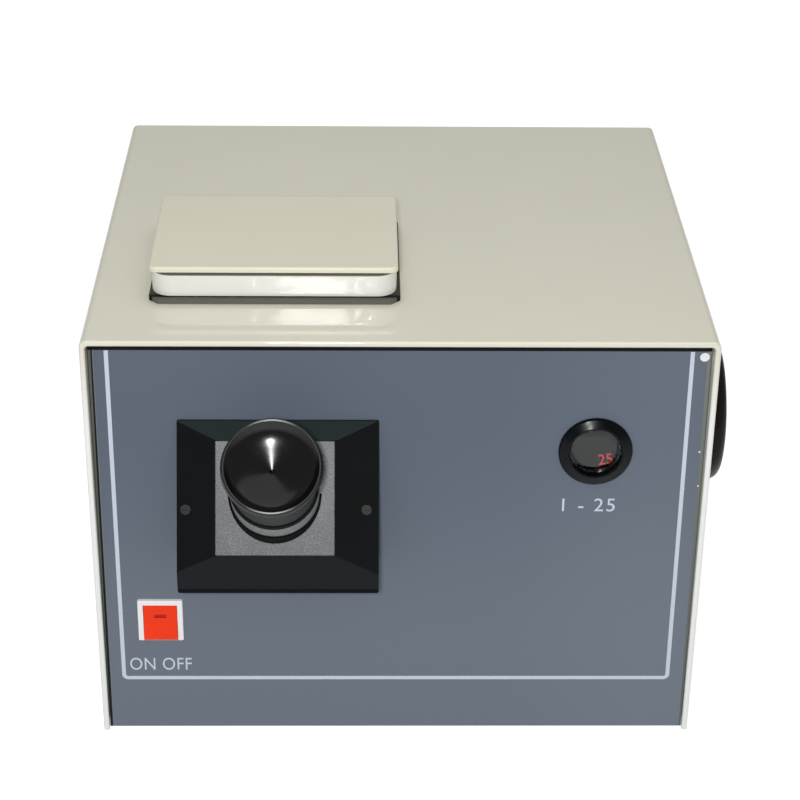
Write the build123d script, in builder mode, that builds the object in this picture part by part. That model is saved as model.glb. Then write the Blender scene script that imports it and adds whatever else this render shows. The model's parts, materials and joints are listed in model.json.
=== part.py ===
from build123d import *
import math
import os

os.makedirs("parts", exist_ok=True)

# Oil colorimeter. Millimetres, +Z up, +Y from the front panel to the back, +X to the right.
# Case coordinates: x from the middle of the cover, y from the cover's front edge,
# z from the cover's lower edge. OX, OY, OZ carry them into the model's own frame,
# whose origin is the middle of the whole object on the surface that it stands on.
OX, OY, OZ = -10.739, -117.042, 8.0

# ---- driving dimensions -------------------------------------------------
W, D, H = 331.1, 300.0, 247.3      # cover: width, depth, height
SHEET = 1.5                        # sheet thickness
HEM_T, HEM_L = 3.2, 9.0            # folded front and rear edges of the cover
PANEL_Y0, PANEL_SLOPE = 2.25, 0.0275   # front panel: recess at the bottom, lean
PANEL_T = 2.0
HOOD_L, HOOD_R = -117.4, -10.9     # eyepiece hood, left and right outline
HOOD_TOP_Y, HOOD_TOP_Z = 6.0, 197.5
HOOD_LEAN = 26.0                   # lean of the hood's face from the vertical
PLATE_L, PLATE_R = -96.9, -34.0    # head plate
PLATE_S0, PLATE_S1 = 10.0, 70.5    # its top and bottom, down the hood's face
EX = -65.5                         # eyepiece axis in x
EYE_Y, EYE_Z = -15.9, 166.4        # where that axis leaves the head plate
EYE_TILT = 48.0                    # eyepiece axis above the horizontal
TUBE_X = (-91.0, -43.0)            # sample and reference tubes
TUBE_Y, TUBE_R = 93.0, 17.5
BEAM_Z = 134.0                     # height of the light beams
DISC_X, DISC_Z, DISC_Y = 42.6, 139.0, 38.0
DISC_R, HOLE_PCR, HOLES = 97.0, 86.0, 26
WHEEL_Y, WHEEL_R = 128.0, 42.6
WIN_X, WIN_S, WIN_R = 104.3, 179.2, 19.7   # colour-number window
SW_X, SW_S, SB_S = -130.75, 72.65, 72.1   # rocker switch: bezel and body
LID_X0, LID_X1, LID_Y0, LID_Y1 = -132.8, -0.8, 46.5, 142.2
LID_TOP, LID_T = 267.4, 3.2
HINGE_Y, HINGE_Z = 143.6, 254.0


def top(z, x=0.0, y=0.0):
    return Plane(origin=(OX + x, OY + y, OZ + z))


def front(y, x=0.0, z=0.0):
    return Plane(origin=(OX + x, OY + y, OZ + z), x_dir=(1, 0, 0), z_dir=(0, -1, 0))


def side(x, y=0.0, z=0.0):
    return Plane(origin=(OX + x, OY + y, OZ + z), x_dir=(0, 1, 0), z_dir=(1, 0, 0))


def P3(x, y, z):
    return Vector(OX + x, OY + y, OZ + z)


# front panel plane: d outwards from its face, s up along it
tau = math.atan(PANEL_SLOPE)
PN = Vector(0, -math.cos(tau), math.sin(tau))
PU = Vector(0, math.sin(tau), math.cos(tau))


def ppoint(x, s, d=0.0):
    return P3(0, PANEL_Y0, 0) + Vector(x, 0, 0) + PU * s + PN * d


def panel(d, x=0.0, s=0.0):
    return Plane(origin=ppoint(x, s, d), x_dir=(1, 0, 0), z_dir=PN)


# hood face plane: level outwards from its outline, s down along it
al = math.radians(HOOD_LEAN)
HN = Vector(0, -math.cos(al), math.sin(al))
HU = Vector(0, math.sin(al), math.cos(al))


def hpoint(x, s, level=0.0):
    return P3(x, HOOD_TOP_Y, HOOD_TOP_Z) - HU * s + HN * level


def hood_plane(level, x=0.0, s=0.0):
    return Plane(origin=hpoint(x, s, level), x_dir=(1, 0, 0), z_dir=HN)


# eyepiece axis: t outwards from the face of the head plate
et = math.radians(EYE_TILT)
EA = Vector(0, -math.cos(et), math.sin(et))


def epoint(t):
    return P3(EX, EYE_Y, EYE_Z) + EA * t


def eye(t):
    return Plane(origin=epoint(t), x_dir=(1, 0, 0), z_dir=EA)


def meridian(origin, axis, radial=(1, 0, 0)):
    r = Vector(*radial)
    return Plane(origin=origin, x_dir=r, z_dir=r.cross(axis))


def cap_mid(r, edge, apex):
    # point half way in radius on the sphere through (r, edge) and (0, apex)
    h = abs(apex - edge)
    rad = (r * r + h * h) / (2 * h)
    q = r / 2
    return (q, apex - math.copysign(rad - math.sqrt(rad * rad - q * q), apex - edge))


def save(part, label):
    part.label = label
    export_step(part, "parts/" + label + ".step")


# =========================================================================
# case
# =========================================================================
SCREW_Y = (40.0, 150.0, 260.0)
REAR_X = (-140.0, -50.0, 50.0, 140.0)
FOOT_XY = ((-135.0, 38.0), (135.0, 38.0), (-135.0, 266.0), (135.0, 266.0))
STAND_XY = ((DISC_X - 24, 76.0), (DISC_X + 24, 76.0), (150.0, WHEEL_Y - 14), (150.0, WHEEL_Y + 14))

# base tray: bottom sheet with upturned edges
with BuildPart() as base_tray:
    with BuildSketch(top(1.0)):
        with Locations((0, 150)):
            Rectangle(W - 3.2, 280.8)
    extrude(amount=SHEET)
    with BuildSketch(top(1.0)):
        with Locations((2.35 - W / 2, 150), (W / 2 - 2.35, 150)):
            Rectangle(1.5, 280.8)
    extrude(amount=21.0)
    with BuildSketch(top(1.0)):
        with Locations((0, 289.65)):
            Rectangle(W - 3.2, 1.5)
    extrude(amount=21.0)
    with BuildSketch(top(1.0)):
        with Locations((0, 7.6)):
            Rectangle(300, 5.2)
    extrude(amount=SHEET)
    with BuildSketch(top(1.0)):
        with Locations((0, 5.75)):
            Rectangle(300, 1.5)
    extrude(amount=19.0)
    # cooling slots under the lamp, and holes for the feet
    with BuildSketch(top(1.0)):
        with Locations((-67, 206)):
            with GridLocations(12, 60, 7, 1):
                SlotOverall(40, 4, rotation=90)
        with Locations(*FOOT_XY, *STAND_XY):
            Circle(2.1)
    extrude(amount=SHEET, mode=Mode.SUBTRACT)
    # cover screw holes in the side flanges, rear screw holes in the back flange
    with BuildSketch(side(-166.0)):
        with Locations(*[(y, 12.0) for y in SCREW_Y]):
            Circle(2.05)
    extrude(amount=332.0, mode=Mode.SUBTRACT)
    with BuildSketch(front(292.0)):
        with Locations(*[(x, 12.0) for x in REAR_X]):
            Circle(2.05)
    extrude(amount=5.0, mode=Mode.SUBTRACT)
save(base_tray.part, "base_tray")

# rubber feet, tapered, recessed for their screws
with BuildPart() as rubber_feet:
    for fx, fy in FOOT_XY:
        with BuildSketch(top(-8.0)):
            with Locations((fx, fy)):
                Circle(9.0)
        with BuildSketch(top(1.0)):
            with Locations((fx, fy)):
                Circle(10.5)
        loft()
    with BuildSketch(top(-8.0)):
        with Locations(*FOOT_XY):
            Circle(4.6)
    extrude(amount=4.5, mode=Mode.SUBTRACT)
    with BuildSketch(top(-8.0)):
        with Locations(*FOOT_XY):
            Circle(2.1)
    extrude(amount=9.0, mode=Mode.SUBTRACT)
save(rubber_feet.part, "rubber_feet")

# front panel, leaning back a little inside the cover
POST_S = 46.6                                   # height of the hood screws, down the hood's face
with BuildPart() as front_panel:
    with BuildSketch(panel(0.0)):
        with Locations((0, 120.5)):
            Rectangle(W - 7.0, 238.8)
        with Locations(((TUBE_X[0] + TUBE_X[1]) / 2 + 1.5, 154.0)):
            Rectangle(69.0, 72.0, mode=Mode.SUBTRACT)
        with Locations((WIN_X, WIN_S)):
            Circle(17.15, mode=Mode.SUBTRACT)
        with Locations((SW_X, SB_S)):
            Rectangle(21.8, 24.5, mode=Mode.SUBTRACT)
    extrude(amount=-PANEL_T)
save(front_panel.part, "front_panel")

# angle brackets that carry the panel from the base tray
with BuildPart() as panel_brackets:
    for sgn in (-1, 1):
        with BuildSketch(panel(-PANEL_T)):
            with Locations((sgn * 155.6, 117.0)):
                Rectangle(9.2, 226.0)
        extrude(amount=-1.5)
        with BuildSketch(panel(-PANEL_T)):
            with Locations((sgn * 159.5, 117.0)):
                Rectangle(1.4, 226.0)
        extrude(amount=-14.0)
save(panel_brackets.part, "panel_brackets")

# cover: folded U with doubled front and rear edges
with BuildPart() as cover:
    with BuildSketch(front(D)):
        with Locations((0, H / 2)):
            Rectangle(W, H)
    extrude(amount=D)
    fillet(cover.edges().filter_by(Axis.Y).group_by(Axis.Z)[-1], radius=4.0)
    with BuildSketch(front(D)):
        with Locations((0, (H - SHEET) / 2 - 5)):
            RectangleRounded(W - 2 * SHEET, H - SHEET + 10, 2.5)
    extrude(amount=D, mode=Mode.SUBTRACT)
    # doubled edges
    for y1 in (HEM_L, D):
        with BuildSketch(front(y1)):
            with Locations((0, (H - 1.4) / 2)):
                Rectangle(W - 2.0, H - 1.4)
            with Locations((0, (H - HEM_T - 10.0) / 2)):
                RectangleRounded(W - 2 * HEM_T, H - HEM_T + 10.0, 2.0, mode=Mode.SUBTRACT)
        extrude(amount=HEM_L)
    # opening over the tubes, hole for the wheel's shaft, screw holes
    with BuildSketch(top(H - 3.0)):
        with Locations((-67.0, 95.0)):
            RectangleRounded(114.0, 74.0, 4.0)
    extrude(amount=6.0, mode=Mode.SUBTRACT)
    with BuildSketch(side(160.0)):
        with Locations((WHEEL_Y, DISC_Z)):
            Circle(10.0)
    extrude(amount=10.0, mode=Mode.SUBTRACT)
    with BuildSketch(side(-170.0)):
        with Locations(*[(y, 12.0) for y in SCREW_Y]):
            Circle(2.1)
    extrude(amount=340.0, mode=Mode.SUBTRACT)
    fillet(cover.edges().filter_by_position(Axis.Y, OY - 0.01, OY + 0.01)
           .filter_by(lambda e: e.length > 5.0), radius=1.2)
save(cover.part, "cover")

# rear panel with vents, mains inlet and fuse openings
INLET_X, INLET_Z = 110.0, 52.0
FUSE_X, FUSE_Z = 68.0, 52.0
with BuildPart() as rear_panel:
    with BuildSketch(front(292.0)):
        with Locations((0, 122.95)):
            Rectangle(W - 7.4, 240.3)
        with Locations((-67.0, 150.0)):
            with GridLocations(96 / 7, 70, 8, 2):
                SlotOverall(56, 5, rotation=90, mode=Mode.SUBTRACT)
        with Locations((INLET_X, INLET_Z)):
            Rectangle(27.6, 20.2, mode=Mode.SUBTRACT)
        with Locations((FUSE_X, FUSE_Z)):
            Circle(6.3, mode=Mode.SUBTRACT)
        with Locations(*[(x, 12.0) for x in REAR_X]):
            Circle(2.1, mode=Mode.SUBTRACT)
    extrude(amount=1.55)
save(rear_panel.part, "rear_panel")

# M4 x 8 pan-head screws: cover sides, rear panel, feet, and the feet of the two stands
SCREWS = ([((sgn * W / 2, y, 12.0), (sgn, 0, 0)) for sgn in (-1, 1) for y in SCREW_Y]
          + [((x, 292.0, 12.0), (0, 1, 0)) for x in REAR_X]
          + [((x, y, -3.5), (0, 0, -1)) for x, y in FOOT_XY]
          + [((x, y, 7.5), (0, 0, 1)) for x, y in STAND_XY])
with BuildPart() as case_screws:
    for pos, n in SCREWS:
        pl = Plane(origin=P3(*pos), x_dir=(0, 0, 1) if n[2] == 0 else (1, 0, 0), z_dir=n)
        with BuildSketch(pl):
            Circle(3.9)
        extrude(amount=2.3)
        with BuildSketch(pl):
            Circle(1.98)
        extrude(amount=-8.0)
        with BuildSketch(pl.offset(2.3)):
            Rectangle(5.2, 0.9)
            Rectangle(0.9, 5.2)
        extrude(amount=-1.2, mode=Mode.SUBTRACT)
save(case_screws.part, "case_screws")

# =========================================================================
# sample chamber: collar, hinges, lid
# =========================================================================
COLLAR_TOP = 249.9
with BuildPart() as sample_collar:
    with BuildSketch(top(H)):
        with Locations((-66.45, 96.9)):
            Rectangle(133.7, 106.2)
        chamfer(vertices(), length=5.0)
    extrude(amount=COLLAR_TOP - H)
    with BuildSketch(top(COLLAR_TOP)):
        with Locations((-67.0, 95.0)):
            RectangleRounded(114.0, 72.0, 5.0)
    extrude(amount=259.0 - COLLAR_TOP)
    with BuildSketch(top(240.0)):
        with Locations((-67.0, 95.0)):
            RectangleRounded(113.4, 73.4, 3.8)
    extrude(amount=H - 240.0)
    with BuildSketch(top(239.0)):
        with Locations((-67.0, 95.0)):
            RectangleRounded(108.0, 66.0, 3.0)
    extrude(amount=25.0, mode=Mode.SUBTRACT)
save(sample_collar.part, "sample_collar")

HINGE_X = (-105.0, -30.0)
with BuildPart() as hinge_brackets:
    for hx in HINGE_X:
        with BuildSketch(top(COLLAR_TOP)):
            with Locations((hx, 148.5)):
                Rectangle(22.4, 2.8)
            with Locations((hx - 8.2, 146.5), (hx + 8.2, 146.5)):
                Rectangle(6.0, 6.8)
        extrude(amount=1.4)
        for dx in (-8.2, 8.2):
            with BuildSketch(side(hx + dx - 3.0)):
                with Locations((HINGE_Y, HINGE_Z)):
                    Circle(3.0)
            extrude(amount=6.0)
            with BuildSketch(side(hx + dx - 3.0)):
                with Locations((HINGE_Y + 1.5, (HINGE_Z + COLLAR_TOP) / 2)):
                    Rectangle(3.0, HINGE_Z - COLLAR_TOP)
            extrude(amount=6.0)
        with BuildSketch(side(hx - 12.0)):
            with Locations((HINGE_Y, HINGE_Z)):
                Circle(1.5)
        extrude(amount=24.0, mode=Mode.SUBTRACT)
save(hinge_brackets.part, "hinge_brackets")

with BuildPart() as hinge_pins:
    for hx in HINGE_X:
        with BuildSketch(side(hx - 11.7)):
            with Locations((HINGE_Y, HINGE_Z)):
                Circle(1.5)
        extrude(amount=23.4)
save(hinge_pins.part, "hinge_pins")

# lid: flat top plate over a deeper skirt
LID_CX, LID_CY = (LID_X0 + LID_X1) / 2, (LID_Y0 + LID_Y1) / 2
with BuildPart() as lid_plate:
    with BuildSketch(top(LID_TOP - LID_T)):
        with Locations((LID_CX, LID_CY)):
            RectangleRounded(LID_X1 - LID_X0, LID_Y1 - LID_Y0, 4.0)
    extrude(amount=LID_T)
    fillet(lid_plate.faces().sort_by(Axis.Z)[-1].edges(), radius=1.2)
    fillet(lid_plate.faces().sort_by(Axis.Z)[0].edges(), radius=0.6)
save(lid_plate.part, "lid_plate")

with BuildPart() as lid_skirt:
    with BuildSketch(top(COLLAR_TOP + 0.4)):
        with Locations((LID_CX, 93.4)):
            RectangleRounded(130.5, 91.6, 10.5)
            RectangleRounded(126.5, 87.6, 8.5, mode=Mode.SUBTRACT)
    extrude(amount=262.0 - (COLLAR_TOP + 0.4))
    fillet(lid_skirt.faces().sort_by(Axis.Z)[-1].outer_wire().edges(), radius=0.7)
    # narrower neck under the plate
    with BuildSketch(top(262.0)):
        with Locations((LID_CX, 93.4)):
            RectangleRounded(128.5, 89.6, 9.5)
            RectangleRounded(126.5, 87.6, 8.5, mode=Mode.SUBTRACT)
    extrude(amount=LID_TOP - LID_T - 262.0)
save(lid_skirt.part, "lid_skirt")

with BuildPart() as lid_seal:
    with BuildSketch(top(259.3)):
        with Locations((-67.0, 95.0)):
            RectangleRounded(117.0, 75.0, 6.0)
            RectangleRounded(105.0, 63.0, 3.0, mode=Mode.SUBTRACT)
    extrude(amount=LID_TOP - LID_T - 259.3)
save(lid_seal.part, "lid_seal")

with BuildPart() as hinge_arms:
    for hx in HINGE_X:
        with BuildSketch(side(hx - 5.0)):
            with Locations((HINGE_Y, HINGE_Z)):
                Circle(3.0)
            with Locations((HINGE_Y - 2.25, HINGE_Z)):
                Rectangle(4.3, 2.8)
            with Locations((HINGE_Y - 3.9, HINGE_Z + 3.2)):
                Rectangle(1.0, 9.2)
        extrude(amount=10.0)
        with BuildSketch(side(hx - 6.0)):
            with Locations((HINGE_Y, HINGE_Z)):
                Circle(1.56)
        extrude(amount=12.0, mode=Mode.SUBTRACT)
save(hinge_arms.part, "hinge_arms")

# well block with two bores for the tubes and a light window in line with each
with BuildPart() as well_block:
    with BuildSketch(top(108.0)):
        with Locations((-67.0, TUBE_Y)):
            Rectangle(100.0, 50.0)
        with Locations((-67.0, TUBE_Y)):
            Rectangle(4.0, 24.0, mode=Mode.SUBTRACT)
    extrude(amount=116.0)
    with BuildSketch(top(114.0)):
        with Locations(*[(x, TUBE_Y) for x in TUBE_X]):
            Circle(TUBE_R + 0.3)
    extrude(amount=120.0, mode=Mode.SUBTRACT)
    with BuildSketch(front(125.0)):
        with Locations(*[(x, BEAM_Z) for x in TUBE_X]):
            RectangleRounded(13.0, 26.0, 4.0)
    extrude(amount=70.0, mode=Mode.SUBTRACT)
save(well_block.part, "well_block")

with BuildPart() as well_brackets:
    for wx, ws in ((-107.0, -1), (-27.0, 1)):
        with BuildSketch(top(2.5)):
            with Locations((wx, TUBE_Y)):
                Rectangle(4.0, 44.0)
        extrude(amount=105.5)
        with BuildSketch(top(2.5)):
            with Locations((wx + ws * 9.0, TUBE_Y)):
                Rectangle(18.0, 44.0)
        extrude(amount=3.0)
save(well_brackets.part, "well_brackets")


def tube(cx, label):
    with BuildPart() as glass_tube:
        with BuildSketch(top(114.0)):
            with Locations((cx, TUBE_Y)):
                Circle(TUBE_R)
        extrude(amount=124.0)
        with BuildSketch(top(116.5)):
            with Locations((cx, TUBE_Y)):
                Circle(TUBE_R - 1.6)
        extrude(amount=124.0, mode=Mode.SUBTRACT)
        fillet(glass_tube.faces().sort_by(Axis.Z)[-1].edges(), radius=0.5)
    save(glass_tube.part, label)


tube(TUBE_X[0], "sample_tube")
tube(TUBE_X[1], "reference_tube")

# =========================================================================
# lamp house
# =========================================================================
LX, LY = -67.0, 212.0
with BuildPart() as lamp_house:
    with BuildSketch(top(2.5)):
        with Locations((LX, 209.0)):
            Rectangle(108.0, 110.0)
    extrude(amount=222.5)
    with BuildSketch(top(2.5)):
        with Locations((LX, 212.2)):
            Rectangle(105.6, 114.0)
    extrude(amount=221.3, mode=Mode.SUBTRACT)
    with BuildSketch(front(160.0)):
        with Locations((LX, BEAM_Z)):
            Rectangle(76.0, 40.0)
    extrude(amount=12.0, mode=Mode.SUBTRACT)
    with BuildSketch(top(220.0)):
        with Locations((LX, 212.0)):
            with GridLocations(12, 60, 7, 1):
                SlotOverall(60, 5, rotation=90)
    extrude(amount=8.0, mode=Mode.SUBTRACT)
    # flanges on the base tray
    with BuildSketch(top(2.5)):
        with Locations((LX - 58.0, 209.0), (LX + 58.0, 209.0)):
            Rectangle(8.6, 100.0)
    extrude(amount=1.2)
save(lamp_house.part, "lamp_house")

with BuildPart() as filter_frame:
    with BuildSketch(front(154.0)):
        with Locations((LX, BEAM_Z)):
            Rectangle(92.0, 56.0)
            Rectangle(74.0, 38.0, mode=Mode.SUBTRACT)
    extrude(amount=14.0)
    # slots that take the two glass plates from the top
    with BuildSketch(front(150.4)):
        with Locations((LX, BEAM_Z + 5.0)):
            Rectangle(82.4, 54.4)
    extrude(amount=3.4, mode=Mode.SUBTRACT)
    with BuildSketch(front(145.0)):
        with Locations((LX, BEAM_Z + 5.0)):
            Rectangle(82.4, 54.4)
    extrude(amount=2.9, mode=Mode.SUBTRACT)
save(filter_frame.part, "filter_frame")

with BuildPart() as diffuser_plate:
    with BuildSketch(front(150.2)):
        with Locations((LX, BEAM_Z - 0.1)):
            Rectangle(82.0, 44.2)
    extrude(amount=3.0)
save(diffuser_plate.part, "diffuser_plate")

with BuildPart() as daylight_filter:
    with BuildSketch(front(144.8)):
        with Locations((LX, BEAM_Z - 0.1)):
            Rectangle(82.0, 44.2)
    extrude(amount=2.5)
save(daylight_filter.part, "daylight_filter")

with BuildPart() as lamp_holder:
    with BuildSketch(top(2.5)):
        with Locations((LX, LY)):
            Circle(26.0)
    extrude(amount=7.0)
    with BuildSketch(top(9.5)):
        with Locations((LX, LY)):
            Circle(19.5)
    extrude(amount=68.5)
    with BuildSketch(top(56.0)):
        with Locations((LX, LY)):
            Circle(14.2)
    extrude(amount=30.0, mode=Mode.SUBTRACT)
save(lamp_holder.part, "lamp_holder")

with BuildPart() as lamp_cap:
    with BuildSketch(meridian(P3(LX, LY, 0), Vector(0, 0, 1))):
        with BuildLine():
            Polyline((0, 56.2), (5.0, 56.2), (5.0, 58.5), (11.5, 61.0), (13.6, 63.0), (13.6, 84.0),
                     (11.6, 84.0), (11.6, 64.0), (0, 60.5), (0, 56.2))
        make_face()
    revolve(axis=Axis(P3(LX, LY, 0), (0, 0, 1)))
save(lamp_cap.part, "lamp_cap")

with BuildPart() as opal_lamp:
    with BuildSketch(meridian(P3(LX, LY, 0), Vector(0, 0, 1))):
        with BuildLine():
            Polyline((0, 70.0), (11.5, 70.0), (11.5, 84.0), (14.5, 86.0))
            Spline((14.5, 86.0), (18.0, 100.0), (26.5, 117.0), (30.0, 134.0), (26.0, 151.0), (14.0, 161.5), (0, 164.5),
                   tangents=((0.0, 1.0), (-1.0, 0.0)))
            Line((0, 164.5), (0, 70.0))
        make_face()
    revolve(axis=Axis(P3(LX, LY, 0), (0, 0, 1)))
save(opal_lamp.part, "opal_lamp")

# =========================================================================
# eyepiece hood and optical head
# =========================================================================
HL, HR = HOOD_L, HOOD_R
RISE = 5.5                                       # height of the bevels at the plate


def hy(s, level):
    v = hpoint(0, s, level)
    return (v.Y - OY, v.Z - OZ)


HOOD_BOT = 110.6
PY = lambda z: PANEL_Y0 + PANEL_SLOPE * z        # panel face at height z
with BuildPart() as hood:
    # side profile: short top wall, top bevel, plate seat, long lower bevel, lower lip
    with BuildSketch(side(HL)):
        with BuildLine():
            Polyline((PY(HOOD_TOP_Z), HOOD_TOP_Z), (HOOD_TOP_Y, HOOD_TOP_Z), hy(PLATE_S0, RISE), hy(PLATE_S1, RISE),
                     (-28.9, 115.1), (-27.4, 111.4), (-25.6, HOOD_BOT), (PY(HOOD_BOT), HOOD_BOT), (PY(HOOD_TOP_Z), HOOD_TOP_Z))
        make_face()
    extrude(amount=HR - HL)
    # rounded corners of the outline seen from the front
    with BuildSketch(front(60.0)):
        with Locations(((HL + HR) / 2, (HOOD_BOT + HOOD_TOP_Z) / 2)):
            RectangleRounded(HR - HL, HOOD_TOP_Z - HOOD_BOT, 2.4)
        with Locations(((HL + HR) / 2, HOOD_TOP_Z - 6.0)):
            RectangleRounded(HR - HL, 12.0, 1.0)
    extrude(amount=120.0, mode=Mode.INTERSECT)
    # side bevels, from the plate's edges down to the outline
    for xin, xout in ((PLATE_L, HL), (PLATE_R, HR)):
        a, b = hpoint(xin, 0, RISE), hpoint(xout, 0, 0)
        sgn = 1 if xout > xin else -1
        nrm = (b - a).cross(HU) * (-sgn)
        split(bisect_by=Plane(origin=a, z_dir=nrm * (1 if nrm.dot(HN) > 0 else -1)), keep=Keep.BOTTOM)
    # hollow inside
    with BuildSketch(side(HL + 2.0)):
        with BuildLine():
            Polyline((9.5, 194.4), hy(2.8, -1.6), hy(74.0, -1.6), (-24.6, 118.0), (-22.6, 114.4), (9.5, 114.4), (9.5, 194.4))
        make_face()
    extrude(amount=HR - HL - 4.0, mode=Mode.SUBTRACT)
    # seat and opening for the head plate
    with BuildSketch(hood_plane(6.5)):
        with Locations(((PLATE_L + PLATE_R) / 2, -(PLATE_S0 + PLATE_S1) / 2)):
            RectangleRounded(PLATE_R - PLATE_L + 0.3, PLATE_S1 - PLATE_S0 + 0.3, 0.9)
    extrude(amount=-3.5, mode=Mode.SUBTRACT)
    with BuildSketch(hood_plane(6.5)):
        with Locations(((PLATE_L + PLATE_R) / 2, -41.2)):
            RectangleRounded(56.4, 54.0, 2.0)
    extrude(amount=-14.0, mode=Mode.SUBTRACT)
    # spot faces and screw holes in the side bevels
    with BuildSketch(hood_plane(0.8)):
        with Locations((-112.6, -POST_S), (-17.4, -POST_S)):
            Circle(2.9)
    extrude(amount=6.0, mode=Mode.SUBTRACT)
    with BuildSketch(hood_plane(6.5)):
        with Locations((-112.6, -POST_S), (-17.4, -POST_S)):
            Circle(1.6)
    extrude(amount=-12.0, mode=Mode.SUBTRACT)
save(hood.part, "hood")

# posts from the panel to the inside of the hood, square to its face
with BuildPart() as hood_posts:
    for px in (-112.6, -17.4):
        with BuildSketch(hood_plane(-1.6, px, POST_S)):
            Circle(2.6)
        extrude(amount=-40.0)
    split(bisect_by=Plane(origin=ppoint(0, 0, 0.0), z_dir=PN), keep=Keep.TOP)
    for px in (-112.6, -17.4):
        with BuildSketch(hood_plane(-1.6, px, POST_S)):
            Circle(1.5)
        extrude(amount=-8.0, mode=Mode.SUBTRACT)
save(hood_posts.part, "hood_posts")

with BuildPart() as hood_screws:
    for px in (-112.6, -17.4):
        with BuildSketch(hood_plane(0.8, px, POST_S)):
            Circle(2.7)
        extrude(amount=1.9)
        with BuildSketch(hood_plane(0.8, px, POST_S)):
            Circle(1.45)
        extrude(amount=-9.0)
        with BuildSketch(hood_plane(2.7, px, POST_S)):
            Rectangle(5.6, 0.8)
        extrude(amount=-0.9, mode=Mode.SUBTRACT)
save(hood_screws.part, "hood_screws")

with BuildPart() as head_plate:
    with BuildSketch(hood_plane(3.0)):
        with Locations(((PLATE_L + PLATE_R) / 2, -(PLATE_S0 + PLATE_S1) / 2)):
            RectangleRounded(PLATE_R - PLATE_L, PLATE_S1 - PLATE_S0, 0.8)
    extrude(amount=3.0)
    fillet(head_plate.faces().sort_by(Axis((0, 0, 0), HN))[-1].edges(), radius=0.5)
    with BuildSketch(eye(-30.0)):
        Circle(23.5)
    extrude(amount=60.0, mode=Mode.SUBTRACT)
save(head_plate.part, "head_plate")

# wedge-shaped black collar between the plate and the sight tube
with BuildPart() as socket_collar:
    with BuildSketch(eye(-16.0)):
        Circle(24.6)
        Circle(23.5, mode=Mode.SUBTRACT)
    extrude(amount=16.0)
    split(bisect_by=hood_plane(6.0), keep=Keep.TOP)
save(socket_collar.part, "socket_collar")

with BuildPart() as sight_tube:
    with BuildSketch(eye(-28.0)):
        Circle(23.4)
        Circle(19.05, mode=Mode.SUBTRACT)
    extrude(amount=40.7)
    fillet(sight_tube.faces().sort_by(Axis((0, 0, 0), EA))[-1].outer_wire().edges(), radius=0.8)
save(sight_tube.part, "sight_tube")

# black head body: sleeve round the tube, prism chamber behind the panel
with BuildPart() as head_body:
    with BuildSketch(eye(-36.0)):
        Circle(27.0)
    extrude(amount=50.0)
    split(bisect_by=hood_plane(-1.9), keep=Keep.BOTTOM)
    with BuildSketch(top(116.0)):
        with Locations((-67.0, 22.0)):
            Rectangle(76.0, 24.0)
    extrude(amount=42.0)
    with BuildSketch(eye(-30.0)):
        Circle(23.45)
    extrude(amount=60.0, mode=Mode.SUBTRACT)
    with BuildSketch(eye(-60.0)):
        Circle(15.0)
    extrude(amount=31.0, mode=Mode.SUBTRACT)
    with BuildSketch(top(118.5)):
        with Locations((-67.0, 22.0)):
            Rectangle(71.0, 19.6)
    extrude(amount=32.0, mode=Mode.SUBTRACT)
    with BuildSketch(front(36.0)):
        with Locations(*[(x, BEAM_Z) for x in TUBE_X]):
            Circle(6.5)
    extrude(amount=8.0, mode=Mode.SUBTRACT)
save(head_body.part, "head_body")

with BuildPart() as deflecting_prism:
    with BuildSketch(side(-78.0)):
        with BuildLine():
            Polyline((13.2, 124.0), (20.8, 124.0), (20.8, 146.0), (17.5, 149.0), (13.2, 144.5), (13.2, 124.0))
        make_face()
    extrude(amount=24.0)
save(deflecting_prism.part, "deflecting_prism")

with BuildPart() as joining_prisms:
    with BuildSketch(top(126.0)):
        with BuildLine():
            Polyline((-98.5, 31.0), (-84.5, 31.0), (-67.3, 21.8), (-81.0, 21.8), (-98.5, 31.0))
        make_face()
        with BuildLine():
            Polyline((-35.5, 31.0), (-49.5, 31.0), (-66.7, 21.8), (-53.0, 21.8), (-35.5, 31.0))
        make_face()
    extrude(amount=16.0)
save(joining_prisms.part, "joining_prisms")

# ocular: barrel that slides in the sight tube, eyecup and lenses
with BuildPart() as ocular_barrel:
    with BuildSketch(meridian(epoint(0), EA)):
        with BuildLine():
            Polyline((15.6, -20.0), (19.0, -20.0), (19.0, 13.1), (20.6, 13.1), (20.6, 15.5), (22.0, 15.5), (22.3, 15.8),
                     (22.3, 36.0), (20.4, 36.0), (20.4, 38.2), (15.6, 38.2), (15.6, -20.0))
        make_face()
    revolve(axis=Axis(epoint(0), EA))
save(ocular_barrel.part, "ocular_barrel")

# flared eyecup, closed by a shallow dish with a small sight hole
with BuildPart() as eyecup:
    with BuildSketch(meridian(epoint(0), EA)):
        with BuildLine():
            Polyline((20.5, 36.1), (22.4, 36.1), (26.1, 44.2))
            Spline((26.1, 44.2), (25.9, 45.6), (24.6, 47.0), tangents=((0.2, 1), (-1, 0.25)))
            Line((24.6, 47.0), (24.2, 46.8))
            Spline((24.2, 46.8), (20.5, 43.3), (16.5, 41.3), (12.0, 39.9), tangents=((-0.7, -0.75), (-0.962, -0.272)))
            Polyline((12.0, 39.9), (1.4, 36.9), (1.3, 36.7), (1.3, 35.4), (16.4, 38.4), (20.5, 38.4), (20.5, 36.1))
        make_face()
    revolve(axis=Axis(epoint(0), EA))
save(eyecup.part, "eyecup")

with BuildPart() as eye_lens:
    with BuildSketch(meridian(epoint(0), EA)):
        with BuildLine():
            ThreePointArc((0, 25.0), cap_mid(15.4, 28.0, 25.0), (15.4, 28.0))
            Line((15.4, 28.0), (15.4, 30.0))
            ThreePointArc((15.4, 30.0), cap_mid(15.4, 30.0, 34.6), (0, 34.6))
            Line((0, 34.6), (0, 25.0))
        make_face()
    revolve(axis=Axis(epoint(0), EA))
save(eye_lens.part, "eye_lens")

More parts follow.
